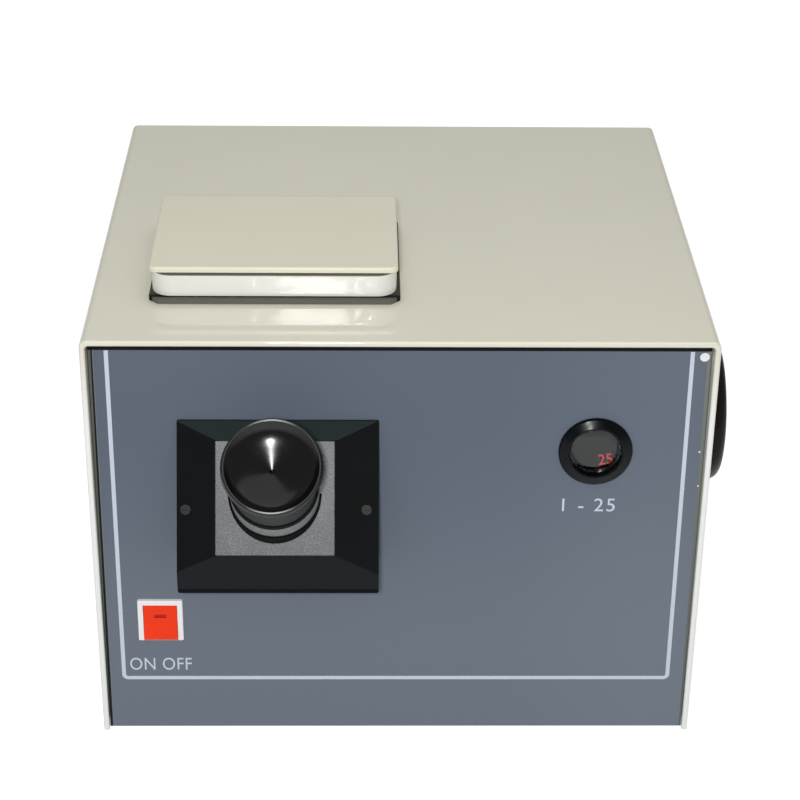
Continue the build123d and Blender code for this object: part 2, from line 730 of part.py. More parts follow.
with BuildPart() as field_lens:
    with BuildSketch(meridian(epoint(0), EA)):
        with BuildLine():
            ThreePointArc((0, -17.0), cap_mid(15.5, -15.5, -17.0), (15.5, -15.5))
            Line((15.5, -15.5), (15.5, -13.5))
            ThreePointArc((15.5, -13.5), cap_mid(15.5, -13.5, -11.0), (0, -11.0))
            Line((0, -11.0), (0, -17.0))
        make_face()
    revolve(axis=Axis(epoint(0), EA))
save(field_lens.part, "field_lens")

# =========================================================================
# colour-number window
# =========================================================================
WO = ppoint(WIN_X, WIN_S)
with BuildPart() as window_bezel:
    with BuildSketch(meridian(WO, PN)):
        with BuildLine():
            Polyline((13.0, -6.4), (17.0, -6.4), (17.0, 0.0), (WIN_R, 0.0), (WIN_R, 1.6), (WIN_R - 0.5, 2.2), (15.0, 3.4),
                     (14.3, 3.4), (13.9, 3.0), (13.9, -4.4), (13.0, -4.4), (13.0, -6.4))
        make_face()
    revolve(axis=Axis(WO, PN))
save(window_bezel.part, "window_bezel")

with BuildPart() as window_lens:
    with BuildSketch(meridian(WO, PN)):
        with BuildLine():
            Polyline((0, -4.3), (13.8, -4.3), (13.8, -1.2))
            ThreePointArc((13.8, -1.2), cap_mid(13.8, -1.2, 0.6), (0, 0.6))
            Line((0, 0.6), (0, -4.3))
        make_face()
    revolve(axis=Axis(WO, PN))
save(window_lens.part, "window_lens")

with BuildPart() as window_nut:
    with BuildSketch(panel(-PANEL_T, WIN_X, WIN_S)):
        Circle(21.0)
        Circle(17.05, mode=Mode.SUBTRACT)
    extrude(amount=-4.0)
save(window_nut.part, "window_nut")

# =========================================================================
# rocker switch and mains parts
# =========================================================================
PV_S, PV_D = 71.9, -1.5                          # rocker pivot
with BuildPart() as switch_body:
    with BuildSketch(panel(0.0, SW_X, SW_S)):
        RectangleRounded(24.9, 26.7, 0.8)
    extrude(amount=2.2)
    fillet(switch_body.faces().sort_by(Axis((0, 0, 0), PN))[-1].edges(), radius=0.6)
    with BuildSketch(panel(0.0, SW_X, SB_S)):
        Rectangle(21.4, 24.1)
    extrude(amount=-19.0)
    with BuildSketch(panel(2.2, SW_X, PV_S)):
        Rectangle(18.9, 22.6)
    extrude(amount=-15.2, mode=Mode.SUBTRACT)
    # trunnion holes for the rocker
    with BuildSketch(Plane(origin=ppoint(SW_X - 10.6, PV_S, PV_D), x_dir=(0, 1, 0), z_dir=(1, 0, 0))):
        Circle(1.56)
    extrude(amount=21.2, mode=Mode.SUBTRACT)
save(switch_body.part, "switch_body")

with BuildPart() as rocker:
    # profile across the rocker: pressed upper half, raised lower half, round ends
    RK = Plane(origin=ppoint(SW_X - 9.2, PV_S, PV_D), x_dir=PU, z_dir=(1, 0, 0))
    with BuildSketch(RK):
        Circle(11.1)
        with BuildLine():
            Polyline((-12.0, -5.0), (-12.0, 6.54), (0.0, 3.1), (12.0, 3.1), (12.0, -5.0), (-12.0, -5.0))
        make_face(mode=Mode.INTERSECT)
    extrude(amount=18.4)
    with BuildSketch(Plane(origin=ppoint(SW_X - 10.5, PV_S, PV_D), x_dir=(0, 1, 0), z_dir=(1, 0, 0))):
        Circle(1.5)
    extrude(amount=21.0)
    # shallow mark on the upper half
    with BuildSketch(panel(PV_D + 3.1, SW_X, PV_S + 3.9)):
        RectangleRounded(6.6, 2.2, 0.8)
    extrude(amount=-0.5, mode=Mode.SUBTRACT)
save(rocker.part, "rocker")

with BuildPart() as switch_terminals:
    with BuildSketch(panel(-19.0, SW_X, SB_S)):
        with GridLocations(10.0, 8.0, 2, 3):
            Rectangle(0.8, 4.8)
    extrude(amount=-9.0)
save(switch_terminals.part, "switch_terminals")

INLET_PINS = ((INLET_X - 7.0, INLET_Z - 2.0), (INLET_X + 7.0, INLET_Z - 2.0), (INLET_X, INLET_Z + 2.2))
with BuildPart() as power_inlet:
    with BuildSketch(front(292.0)):
        with Locations((INLET_X, INLET_Z)):
            RectangleRounded(31.0, 24.6, 2.0)
    extrude(amount=-2.4)
    with BuildSketch(front(292.0)):
        with Locations((INLET_X, INLET_Z)):
            Rectangle(27.2, 19.8)
    extrude(amount=22.0)
    with BuildSketch(front(295.0)):
        with Locations((INLET_X, INLET_Z)):
            RectangleRounded(23.6, 15.6, 3.0)
    extrude(amount=19.0, mode=Mode.SUBTRACT)
    with BuildSketch(front(291.5)):
        with Locations(*INLET_PINS):
            Rectangle(2.0, 4.0)
    extrude(amount=28.5, mode=Mode.SUBTRACT)
save(power_inlet.part, "power_inlet")

with BuildPart() as inlet_pins:
    with BuildSketch(front(291.5)):
        with Locations(*INLET_PINS):
            Rectangle(2.0, 4.0)
    extrude(amount=28.5)
save(inlet_pins.part, "inlet_pins")

with BuildPart() as fuse_holder:
    with BuildSketch(front(292.0)):
        with Locations((FUSE_X, FUSE_Z)):
            Circle(9.0)
    extrude(amount=-5.0)
    with BuildSketch(front(292.0)):
        with Locations((FUSE_X, FUSE_Z)):
            Circle(6.2)
    extrude(amount=34.0)
    with BuildSketch(front(297.0)):
        with Locations((FUSE_X, FUSE_Z)):
            Rectangle(9.0, 1.4)
    extrude(amount=1.2, mode=Mode.SUBTRACT)
save(fuse_holder.part, "fuse_holder")

# =========================================================================
# colour disc and its drive
# =========================================================================
beam_angle = math.degrees(math.atan2(BEAM_Z - DISC_Z, TUBE_X[1] - DISC_X))
STEP = 360.0 / HOLES


def ring_points(radius, first=0, last=HOLES - 1):
    return [(DISC_X + radius * math.cos(math.radians(beam_angle + STEP * k)),
             DISC_Z + radius * math.sin(math.radians(beam_angle + STEP * k)))
            for k in range(first, last + 1)]


with BuildPart() as colour_disc:
    with BuildSketch(front(DISC_Y + 4.0)):
        with Locations((DISC_X, DISC_Z)):
            Circle(DISC_R)
            Circle(5.0, mode=Mode.SUBTRACT)
        with Locations(*ring_points(HOLE_PCR)):
            Circle(7.0, mode=Mode.SUBTRACT)
        with Locations(*[(DISC_X + 98.6 * math.cos(math.radians(beam_angle + STEP * (k + 0.5))),
                          DISC_Z + 98.6 * math.sin(math.radians(beam_angle + STEP * (k + 0.5)))) for k in range(HOLES)]):
            Circle(2.6, mode=Mode.SUBTRACT)
    extrude(amount=4.0)
    with BuildSketch(front(DISC_Y + 4.0)):
        with Locations(*ring_points(HOLE_PCR)):
            Circle(8.1)
    extrude(amount=2.2, mode=Mode.SUBTRACT)
save(colour_disc.part, "colour_disc")

# 25 glasses: the darkest stands in the beam, and the hole after it is left empty
with BuildPart() as colour_glasses:
    with BuildSketch(front(DISC_Y + 3.8)):
        with Locations(*ring_points(HOLE_PCR, 2, HOLES)):
            Circle(8.0)
    extrude(amount=2.0)
save(colour_glasses.part, "colour_glasses")

with BuildPart() as retaining_ring:
    with BuildSketch(front(DISC_Y + 5.0)):
        with Locations((DISC_X, DISC_Z)):
            Circle(95.0)
            Circle(77.0, mode=Mode.SUBTRACT)
        with Locations(*ring_points(HOLE_PCR)):
            Circle(7.0, mode=Mode.SUBTRACT)
    extrude(amount=1.0)
save(retaining_ring.part, "retaining_ring")

with BuildPart() as disc_hub:
    with BuildSketch(front(DISC_Y + 8.0)):
        with Locations((DISC_X, DISC_Z)):
            Circle(20.0)
    extrude(amount=4.0)
    with BuildSketch(front(DISC_Y + 15.0)):
        with Locations((DISC_X, DISC_Z)):
            Circle(11.0)
    extrude(amount=8.0)
    with BuildSketch(front(DISC_Y + 16.0)):
        with Locations((DISC_X, DISC_Z)):
            Circle(5.0)
    extrude(amount=14.0, mode=Mode.SUBTRACT)
save(disc_hub.part, "disc_hub")

with BuildPart() as disc_shaft:
    with BuildSketch(front(117.0)):
        with Locations((DISC_X, DISC_Z)):
            Circle(5.0)
    extrude(amount=117.0 - 35.0)
save(disc_shaft.part, "disc_shaft")

# mitre gears: 20 teeth of module 2, thin teeth for ample backlash
APEX = P3(DISC_X, WHEEL_Y, DISC_Z)
TEETH, FACE_K, PITCH_R = 20, 0.70, 20.0
SLANT = PITCH_R * math.sqrt(2.0)


def gear_tooth(axis, radial):
    # axis points from the apex along the gear's shaft, radial is square to it
    e = (axis + radial).normalized()            # pitch element
    v = (radial - axis).normalized()            # across it, outwards
    w = v.cross(e)
    faces = []
    for k in (1.0, FACE_K):
        pl = Plane(origin=APEX + e * (SLANT * k), x_dir=w, z_dir=e)
        flip = 1.0 if pl.y_dir.dot(v) > 0 else -1.0
        pts = [(-2.2 * k, -2.7 * k * flip), (2.2 * k, -2.7 * k * flip), (0.62 * k, 1.7 * k * flip), (-0.62 * k, 1.7 * k * flip)]
        faces.append(pl * make_face(Polyline(*pts, close=True)))
    return loft(faces)


def gear_profile():
    return ((5.0, 15.09), (12.82, 15.09), (18.31, 21.55), (17.0, 24.0), (10.0, 24.0), (10.0, 30.0), (5.0, 30.0), (5.0, 15.09))


disc_axis, wheel_axis = Vector(0, -1, 0), Vector(1, 0, 0)
disc_tooth = gear_tooth(disc_axis, Vector(1, 0, 0))
wheel_tooth = gear_tooth(wheel_axis, Vector(0, -1, 0))

with BuildPart() as disc_gear:
    with BuildSketch(meridian(APEX, disc_axis)):
        with BuildLine():
            Polyline(*gear_profile())
        make_face()
    revolve(axis=Axis(APEX, disc_axis))
    for k in range(TEETH):
        add(disc_tooth.rotate(Axis(APEX, disc_axis), 360.0 / TEETH * k))
save(disc_gear.part, "disc_gear")

with BuildPart() as wheel_pinion:
    with BuildSketch(meridian(APEX, wheel_axis, (0, 1, 0))):
        with BuildLine():
            Polyline(*gear_profile())
        make_face()
    revolve(axis=Axis(APEX, wheel_axis))
    for k in range(TEETH):
        add(wheel_tooth.rotate(Axis(APEX, wheel_axis), 360.0 / TEETH * (k + 0.5)))
save(wheel_pinion.part, "wheel_pinion")

with BuildPart() as wheel_shaft:
    with BuildSketch(side(54.0)):
        with Locations((WHEEL_Y, DISC_Z)):
            Circle(5.0)
    extrude(amount=132.8)
save(wheel_shaft.part, "wheel_shaft")

# handwheel: hub, dished web, thick rounded rim
with BuildPart() as handwheel:
    wo = P3(0, WHEEL_Y, DISC_Z)
    with BuildSketch(meridian(wo, Vector(1, 0, 0), (0, 1, 0))):
        with BuildLine():
            Polyline((5.0, 168.3), (14.0, 168.3), (16.0, 174.8), (28.0, 174.8))
            Spline((28.0, 174.8), (32.3, 173.4), (37.4, 171.0), (41.7, 174.3), (WHEEL_R, 180.3), (41.7, 185.8), (37.4, 189.3),
                   (32.3, 186.8), (29.0, 182.8), tangents=((1, 0), (-1, -0.4)))
            Polyline((29.0, 182.8), (15.0, 182.8), (13.0, 188.8), (5.0, 188.8), (5.0, 168.3))
        make_face()
    revolve(axis=Axis(wo, (1, 0, 0)))
    with BuildSketch(side(182.8)):
        with Locations((WHEEL_Y, DISC_Z + 35.9)):
            Circle(5.0)
    extrude(amount=8.0, mode=Mode.SUBTRACT)
save(handwheel.part, "handwheel")

# stands with bushed bearings
with BuildPart() as disc_stand:
    with BuildSketch(top(2.5)):
        with Locations((DISC_X, 76.0)):
            Rectangle(60.0, 40.0)
        with Locations(*STAND_XY[:2]):
            Circle(2.1, mode=Mode.SUBTRACT)
    extrude(amount=5.0)
    with BuildSketch(top(2.5)):
        with Locations((DISC_X, 59.0), (DISC_X, 93.0)):
            Rectangle(36.0, 6.0)
    extrude(amount=155.0)
    with BuildSketch(front(97.0)):
        with Locations((DISC_X, DISC_Z)):
            Circle(8.0)
    extrude(amount=42.0, mode=Mode.SUBTRACT)
save(disc_stand.part, "disc_stand")

with BuildPart() as wheel_stand:
    with BuildSketch(top(2.5)):
        with Locations((142.0, WHEEL_Y)):
            Rectangle(28.0, 44.0)
        with Locations(*STAND_XY[2:]):
            Circle(2.1, mode=Mode.SUBTRACT)
    extrude(amount=5.0)
    with BuildSketch(top(2.5)):
        with Locations((131.0, WHEEL_Y)):
            Rectangle(6.0, 36.0)
    extrude(amount=155.0)
    with BuildSketch(side(127.0)):
        with Locations((WHEEL_Y, DISC_Z)):
            Circle(8.0)
    extrude(amount=8.0, mode=Mode.SUBTRACT)
save(wheel_stand.part, "wheel_stand")

with BuildPart() as shaft_bushes:
    for y1 in (62.0, 96.0):
        with BuildSketch(front(y1)):
            with Locations((DISC_X, DISC_Z)):
                Circle(8.0)
        extrude(amount=6.0)
        with BuildSketch(front(y1 + 1.5)):
            with Locations((DISC_X, DISC_Z)):
                Circle(10.0)
        extrude(amount=1.5)
    with BuildSketch(front(98.0)):
        with Locations((DISC_X, DISC_Z)):
            Circle(5.05)
    extrude(amount=44.0, mode=Mode.SUBTRACT)
    with BuildSketch(side(128.0)):
        with Locations((WHEEL_Y, DISC_Z)):
            Circle(8.0)
    extrude(amount=6.0)
    with BuildSketch(side(134.0)):
        with Locations((WHEEL_Y, DISC_Z)):
            Circle(10.0)
    extrude(amount=1.5)
    with BuildSketch(side(127.0)):
        with Locations((WHEEL_Y, DISC_Z)):
            Circle(5.05)
    extrude(amount=9.0, mode=Mode.SUBTRACT)
save(shaft_bushes.part, "shaft_bushes")

# index spring: a leaf with a rolled end close under the notched rim of the disc
with BuildPart() as index_spring:
    with BuildSketch(top(2.5)):
        with Locations((DISC_X + 12.0, 40.0)):
            Rectangle(16.0, 8.0)
    extrude(amount=1.2)
    with BuildSketch(top(2.5)):
        with Locations((DISC_X + 4.0, 40.0)):
            Rectangle(1.2, 6.0)
    extrude(amount=36.0)
    with BuildSketch(front(43.0)):
        with Locations((DISC_X + 2.0, DISC_Z - DISC_R - 3.1)):
            Circle(2.6)
    extrude(amount=6.0)
save(index_spring.part, "index_spring")
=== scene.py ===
import json
import math

import bmesh
import bpy
from mathutils import Matrix, Vector


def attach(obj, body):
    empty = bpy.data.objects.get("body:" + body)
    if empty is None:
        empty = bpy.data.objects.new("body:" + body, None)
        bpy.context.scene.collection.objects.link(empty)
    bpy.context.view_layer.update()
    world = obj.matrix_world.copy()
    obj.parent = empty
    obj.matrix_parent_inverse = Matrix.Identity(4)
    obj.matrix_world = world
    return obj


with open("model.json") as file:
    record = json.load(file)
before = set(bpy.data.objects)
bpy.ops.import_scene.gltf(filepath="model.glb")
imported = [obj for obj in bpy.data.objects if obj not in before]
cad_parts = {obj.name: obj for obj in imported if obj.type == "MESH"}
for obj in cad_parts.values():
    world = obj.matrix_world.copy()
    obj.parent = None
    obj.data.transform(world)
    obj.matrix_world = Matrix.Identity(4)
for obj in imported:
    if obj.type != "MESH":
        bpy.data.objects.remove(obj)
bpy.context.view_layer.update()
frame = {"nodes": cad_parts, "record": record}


nodes = frame["nodes"]

# ---- the part's own reference places, in millimetres from the cover's front lower middle -----------
OX, OY, OZ = -10.739, -117.042, 8.0
TAU = math.atan(0.0275)                      # lean of the front panel
PN = Vector((0, -math.cos(TAU), math.sin(TAU)))
PU = Vector((0, math.sin(TAU), math.cos(TAU)))
DISC_X, DISC_Z, DISC_FACE = 42.6, 139.0, 38.0
STEP = 360.0 / 26.0
BEAM = math.degrees(math.atan2(134.0 - DISC_Z, -43.0 - DISC_X))


def at(x, y, z):
    return Vector(((OX + x) / 1000, (OY + y) / 1000, (OZ + z) / 1000))


def on_panel(x, s, d=0.0):
    return at(0, 2.25, 0) + (Vector((x, 0, 0)) + PU * s + PN * d) / 1000


def lin(r, g, b, a=1.0):
    def one(v):
        v /= 255.0
        return v / 12.92 if v <= 0.04045 else ((v + 0.055) / 1.055) ** 2.4
    return (one(r), one(g), one(b), a)


# ---- materials -------------------------------------------------------------------------------------
class Mat:
    """A node material with a few shorthands for the patterns used here."""

    def __init__(self, name):
        self.m = bpy.data.materials.new(name)
        self.m.use_nodes = True
        self.t = self.m.node_tree
        self.t.nodes.clear()
        self.out = self.t.nodes.new("ShaderNodeOutputMaterial")
        self.b = self.t.nodes.new("ShaderNodeBsdfPrincipled")
        self.t.links.new(self.b.outputs[0], self.out.inputs[0])
        self.coord = self.t.nodes.new("ShaderNodeTexCoord").outputs["Object"]
        self.normal = None

    def link(self, a, b):
        self.t.links.new(a, b)

    def set(self, **kw):
        for k, v in kw.items():
            self.b.inputs[k.replace("_", " ")].default_value = v
        return self

    def stretch(self, scale):
        n = self.t.nodes.new("ShaderNodeMapping")
        n.inputs["Scale"].default_value = scale
        self.link(self.coord, n.inputs["Vector"])
        return n.outputs[0]

    def noise(self, scale, detail=2.0, rough=0.5, vector=None, distortion=0.0):
        n = self.t.nodes.new("ShaderNodeTexNoise")
        n.inputs["Scale"].default_value = scale
        n.inputs["Detail"].default_value = detail
        n.inputs["Roughness"].default_value = rough
        n.inputs["Distortion"].default_value = distortion
        self.link(vector or self.coord, n.inputs["Vector"])
        return n.outputs["Fac"]

    def voronoi(self, scale, feature="F1", vector=None):
        n = self.t.nodes.new("ShaderNodeTexVoronoi")
        n.feature = feature
        n.inputs["Scale"].default_value = scale
        self.link(vector or self.coord, n.inputs["Vector"])
        return n.outputs["Distance"]

    def math(self, op, a, b=None, c=None, clamp=False):
        n = self.t.nodes.new("ShaderNodeMath")
        n.operation = op
        n.use_clamp = clamp
        for i, v in enumerate((a, b, c)):
            if v is None:
                continue
            if isinstance(v, (int, float)):
                n.inputs[i].default_value = v
            else:
                self.link(v, n.inputs[i])
        return n.outputs[0]

    def remap(self, value, lo, hi, to_lo, to_hi, smooth=False):
        n = self.t.nodes.new("ShaderNodeMapRange")
        if smooth:
            n.interpolation_type = "SMOOTHSTEP"
        n.inputs["From Min"].default_value = lo
        n.inputs["From Max"].default_value = hi
        n.inputs["To Min"].default_value = to_lo
        n.inputs["To Max"].default_value = to_hi
        self.link(value, n.inputs["Value"])
        return n.outputs["Result"]

    def mix(self, fac, a, b):
        n = self.t.nodes.new("ShaderNodeMix")
        n.data_type = "RGBA"
        if isinstance(fac, (int, float)):
            n.inputs["Factor"].default_value = fac
        else:
            self.link(fac, n.inputs["Factor"])
        for sock, v in ((n.inputs["A"], a), (n.inputs["B"], b)):
            pass
        ins = [s for s in n.inputs if s.type == "RGBA"]
        for sock, v in zip(ins, (a, b)):
            if isinstance(v, (tuple, list)):
                sock.default_value = v
            else:
                self.link(v, sock)
        return [s for s in n.outputs if s.type == "RGBA"][0]

    def ramp(self, fac, stops):
        n = self.t.nodes.new("ShaderNodeValToRGB")
        e = n.color_ramp.elements
        while len(e) < len(stops):
            e.new(0.5)
        for el, (p, col) in zip(e, stops):
            el.position = p
            el.color = col
        self.link(fac, n.inputs["Fac"])
        return n.outputs["Color"]

    def xyz(self):
        n = self.t.nodes.new("ShaderNodeSeparateXYZ")
        self.link(self.coord, n.inputs[0])
        return n.outputs

    def along(self, origin, axis):
        """Distance in millimetres along an axis from a place on it."""
        x, y, z = self.xyz()
        total = None
        for c, o, a in zip((x, y, z), origin, axis):
            if abs(a) < 1e-9:
                continue
            term = self.math("MULTIPLY", self.math("SUBTRACT", c, float(o)), 1000.0 * a)
            total = term if total is None else self.math("ADD", total, term)
        return total

    def near(self, place, radius):
        """1 within a radius in millimetres of a place, 0 outside."""
        x, y, z = self.xyz()
        total = None
        for c, o in zip((x, y, z), place):
            d = self.math("SUBTRACT", c, float(o))
            d = self.math("MULTIPLY", d, d)
            total = d if total is None else self.math("ADD", total, d)
        return self.math("LESS_THAN", self.math("SQRT", total), radius / 1000.0)

    def color(self, value):
        if isinstance(value, (tuple, list)):
            self.b.inputs["Base Color"].default_value = value
        else:
            self.link(value, self.b.inputs["Base Color"])
        return self

    def rough(self, value):
        if isinstance(value, (int, float)):
            self.b.inputs["Roughness"].default_value = value
        else:
            self.link(value, self.b.inputs["Roughness"])
        return self

    def bump(self, height, strength, distance):
        n = self.t.nodes.new("ShaderNodeBump")
        n.inputs["Strength"].default_value = strength
        n.inputs["Distance"].default_value = distance
        self.link(height, n.inputs["Height"])
        if self.normal is not None:
            self.link(self.normal, n.inputs["Normal"])
        self.normal = n.outputs[0]
        self.link(self.normal, self.b.inputs["Normal"])
        return self


def tint(col, k):
    return (min(1, col[0] * k), min(1, col[1] * k), min(1, col[2] * k), 1.0)


def paint(name, col, rough, spread=0.04, var_scale=14.0, grain=700.0, grain_strength=0.12, grain_depth=0.00004,
          rough_spread=0.05, coat=0.0, coat_rough=0.1, metallic=0.0, spec=0.5):
    """Painted or moulded surface: slight unevenness of colour and gloss, fine orange peel."""
    m = Mat(name)
    patch = m.noise(var_scale, 3.0)
    m.base = m.mix(m.remap(patch, 0.3, 0.7, 0.0, 1.0), tint(col, 1 - spread), tint(col, 1 + spread))
    m.color(m.base)
    m.rough(m.remap(m.noise(var_scale * 4, 3.0), 0.3, 0.7, max(0.02, rough - rough_spread), rough + rough_spread))
    m.bump(m.noise(grain, 2.0), grain_strength, grain_depth)
    m.set(Metallic=metallic, Specular_IOR_Level=spec)
    m.b.inputs["Coat Weight"].default_value = coat
    m.b.inputs["Coat Roughness"].default_value = coat_rough
    return m


def metal(name, col, rough, brush=(40.0, 900.0, 900.0), strength=0.15, spread=0.10):
    """Bare metal with fine drawn or turned lines along one direction."""
    m = Mat(name)
    v = m.stretch(brush)
    lines = m.noise(1.0, 3.0, 0.6, v)
    m.color(m.mix(m.remap(lines, 0.3, 0.7, 0, 1), tint(col, 1 - spread), tint(col, 1 + spread * 0.6)))
    m.rough(m.remap(m.noise(30.0, 3.0), 0.3, 0.7, rough * 0.8, rough * 1.25))
    m.bump(lines, strength, 0.00003)
    m.set(Metallic=1.0)
    return m


def glass(name, col, rough=0.03, ior=1.5, trans=1.0):
    m = Mat(name)
    m.color(m.mix(m.remap(m.noise(25.0, 2.0), 0.3, 0.7, 0, 1), tint(col, 0.985), tint(col, 1.0)))
    m.rough(m.remap(m.noise(60.0, 3.0), 0.35, 0.7, rough * 0.6, rough * 1.4))
    m.set(IOR=ior)
    m.b.inputs["Transmission Weight"].default_value = trans
    return m


MAT = {}

# cover: beige powder coat with a fine orange peel
MAT["cover_paint"] = paint("cover_paint", lin(230, 227, 209), 0.42, spread=0.014, var_scale=9.0, grain=190.0, grain_strength=0.35,
                           grain_depth=0.00008, rough_spread=0.04, coat=0.7, coat_rough=0.035, spec=0.3)
MAT["lid_paint"] = paint("lid_paint", lin(228, 225, 204), 0.45, spread=0.012, var_scale=12.0, grain=260.0, grain_strength=0.2,
                         grain_depth=0.00005, coat=0.2, coat_rough=0.18, spec=0.3)
MAT["skirt_paint"] = paint("skirt_paint", lin(232, 232, 226), 0.3, spread=0.015, var_scale=18.0, grain=200.0, grain_strength=0.3,
                           grain_depth=0.00003, spec=1.0)
MAT["cover_paint"].b.inputs["Coat IOR"].default_value = 1.7
# painted light: the cover's front edge is painted paler down the sides, as front faces catch more light
cover = MAT["cover_paint"]
hem = cover.math("MULTIPLY", cover.remap(cover.xyz()[1], (OY + 0.9) / 1000, (OY + 1.6) / 1000, 1, 0),
                 cover.remap(cover.xyz()[2], (OZ + 241.0) / 1000, (OZ + 195.0) / 1000, 0, 1))
cover.color(cover.mix(hem, cover.base, lin(247, 249, 245)))
# slow waves in the skirt's sheet, and shade in the groove under the lid's plate
skirt = MAT["skirt_paint"]
skirt.bump(skirt.noise(83.0, 1.0), 1.0, 0.00018)
skirt.rough(skirt.remap(skirt.xyz()[2], (OZ + 261.2) / 1000, (OZ + 261.6) / 1000, 0.035, 0.85))
ledge = skirt.mix(skirt.remap(skirt.xyz()[2], (OZ + 261.88) / 1000, (OZ + 261.95) / 1000, 0, 1), skirt.base, lin(158, 156, 142))
skirt.color(skirt.mix(skirt.remap(skirt.xyz()[2], (OZ + 262.04) / 1000, (OZ + 262.1) / 1000, 0, 1), ledge, lin(74, 71, 60)))
# panel with a few small chips in its paint
MAT["panel_paint"] = paint("panel_paint", lin(101, 110, 125), 0.5, spread=0.025, var_scale=7.0, grain=1500.0, grain_strength=0.05,
                           grain_depth=0.00002, rough_spread=0.04, spec=0.08)
panel = MAT["panel_paint"]
chips = panel.math("MAXIMUM", panel.near(on_panel(158.6, 234.7), 2.5), panel.math(
    "MAXIMUM", panel.near(on_panel(159.9, 178.6), 0.55), panel.near(on_panel(160.6, 157.8), 0.5)))
# painted light: the panel is painted lighter towards the bottom and the right, where more light falls on it
px, py, pz = panel.xyz()
painted_brightening = panel.math("ADD", panel.remap(pz, (OZ + 215.0) / 1000, (OZ + 40.0) / 1000, 0.0, 0.7, smooth=True),
                  panel.remap(px, (OX + 40.0) / 1000, (OX + 150.0) / 1000, 0.0, 0.32, smooth=True))
painted_brighter = panel.mix(panel.math("MINIMUM", painted_brightening, 1.0), panel.base, lin(122, 132, 143))
chips_and_painted_light = painted_brighter
# painted shade and light down the panel's sides: on the left a painted black shadow gap with a painted highlight on
# the panel's edge beside it, and on both sides grey bands painted in for the cover's lit inner wall, lighter further
# up on the right
from_left = panel.math("ADD", panel.math("MULTIPLY", px, 1000.0), 162.05 - OX)
from_right = panel.math("SUBTRACT", 162.05 + OX, panel.math("MULTIPLY", px, 1000.0))
up = panel.remap(pz, OZ / 1000, (OZ + 240.0) / 1000, 0.0, 1.0)
painted_gap_left = panel.math("SUBTRACT", from_left, panel.math("ADD", panel.math("MULTIPLY", up, 0.7), 1.5))
grey_left = panel.math("SUBTRACT", from_left, panel.math("MULTIPLY", up, 1.25))
grey_right = panel.math("SUBTRACT", from_right, panel.math("ADD", panel.math("MULTIPLY", up, 1.0), 0.9))
chips_and_painted_light = panel.mix(panel.remap(grey_right, 0.0, 0.25, 1, 0), chips_and_painted_light, panel.mix(up, lin(104, 107, 106), lin(127, 132, 126)))
chips_and_painted_light = panel.mix(panel.remap(painted_gap_left, 0.1, 0.6, 1, 0), chips_and_painted_light, lin(132, 138, 140))
chips_and_painted_light = panel.mix(panel.remap(painted_gap_left, 0.0, 0.1, 1, 0), chips_and_painted_light, lin(26, 30, 29))
chips_and_painted_light = panel.mix(panel.remap(grey_left, 0.0, 0.15, 1, 0), chips_and_painted_light, lin(98, 100, 93))
chips_and_painted_light = panel.mix(chips, chips_and_painted_light, lin(244, 244, 250))
# painted shade: a black band along the panel's top edge, for the shadow gap under the cover's front edge
panel.color(panel.mix(panel.remap(pz, (OZ + 237.8) / 1000, (OZ + 238.0) / 1000, 0, 1), chips_and_painted_light, lin(14, 13, 18)))
MAT["chassis_steel"] = metal("chassis_steel", lin(196, 197, 190), 0.34, (60.0, 500.0, 500.0), 0.10)
MAT["screw_steel"] = metal("screw_steel", lin(205, 205, 200), 0.26, (300.0, 2500.0, 2500.0), 0.10)
MAT["feet_rubber"] = paint("feet_rubber", lin(40, 40, 42), 0.75, spread=0.12, var_scale=60.0, grain=1500.0, grain_strength=0.35)
MAT["collar_black"] = paint("collar_black", lin(72, 70, 62), 0.6, spread=0.10, var_scale=40.0, grain=900.0, grain_strength=0.12, spec=0.1)
# painted light and shade: the collar's front strip is painted paler as lit, with a painted shadow line along the foot
# of the skirt
ring = MAT["collar_black"]
cy = ring.xyz()[1]
flange = ring.mix(ring.remap(cy, (OY + 46.4) / 1000, (OY + 47.2) / 1000, 0, 1), lin(99, 97, 89), ring.base)
line = ring.math("MULTIPLY", ring.remap(cy, (OY + 46.6) / 1000, (OY + 47.2) / 1000, 0, 1),
                 ring.remap(cy, (OY + 49.6) / 1000, (OY + 50.2) / 1000, 1, 0))
ring.color(ring.mix(line, flange, lin(24, 23, 21)))
MAT["hinge_steel"] = metal("hinge_steel", lin(180, 180, 178), 0.3, (900.0, 60.0, 900.0), 0.12)
MAT["seal_foam"] = paint("seal_foam", lin(36, 36, 36), 0.9, spread=0.2, var_scale=300.0, grain=2600.0, grain_strength=0.6,
                         grain_depth=0.0002)
MAT["well_black"] = paint("well_black", lin(34, 34, 37), 0.5, spread=0.08, var_scale=30.0, grain=1800.0, grain_strength=0.12,
                          metallic=0.6)
MAT["tube_glass"] = glass("tube_glass", lin(248, 252, 250), 0.02, 1.47)
MAT["lamp_tin"] = metal("lamp_tin", lin(206, 206, 202), 0.4, (500.0, 500.0, 40.0), 0.10)
MAT["diffuser_glass"] = glass("diffuser_glass", lin(244, 243, 238), 0.55, 1.5, 0.35)
MAT["daylight_glass"] = glass("daylight_glass", lin(150, 190, 235), 0.05, 1.52)
MAT["holder_white"] = paint("holder_white", lin(236, 232, 220), 0.16, spread=0.02, var_scale=30.0, grain=500.0, grain_strength=0.05,
                            coat=0.6, coat_rough=0.05)
MAT["cap_brass"] = metal("cap_brass", lin(212, 178, 104), 0.3, (800.0, 800.0, 100.0), 0.12)
MAT["lamp_opal"] = paint("lamp_opal", lin(246, 245, 240), 0.18, spread=0.01, var_scale=20.0, grain=600.0, grain_strength=0.03, coat=0.5)
MAT["hood_black"] = paint("hood_black", lin(22, 24, 25), 0.5, spread=0.08, var_scale=26.0, grain=900.0, grain_strength=0.06,
                          grain_depth=0.00004, rough_spread=0.05, spec=0.02)
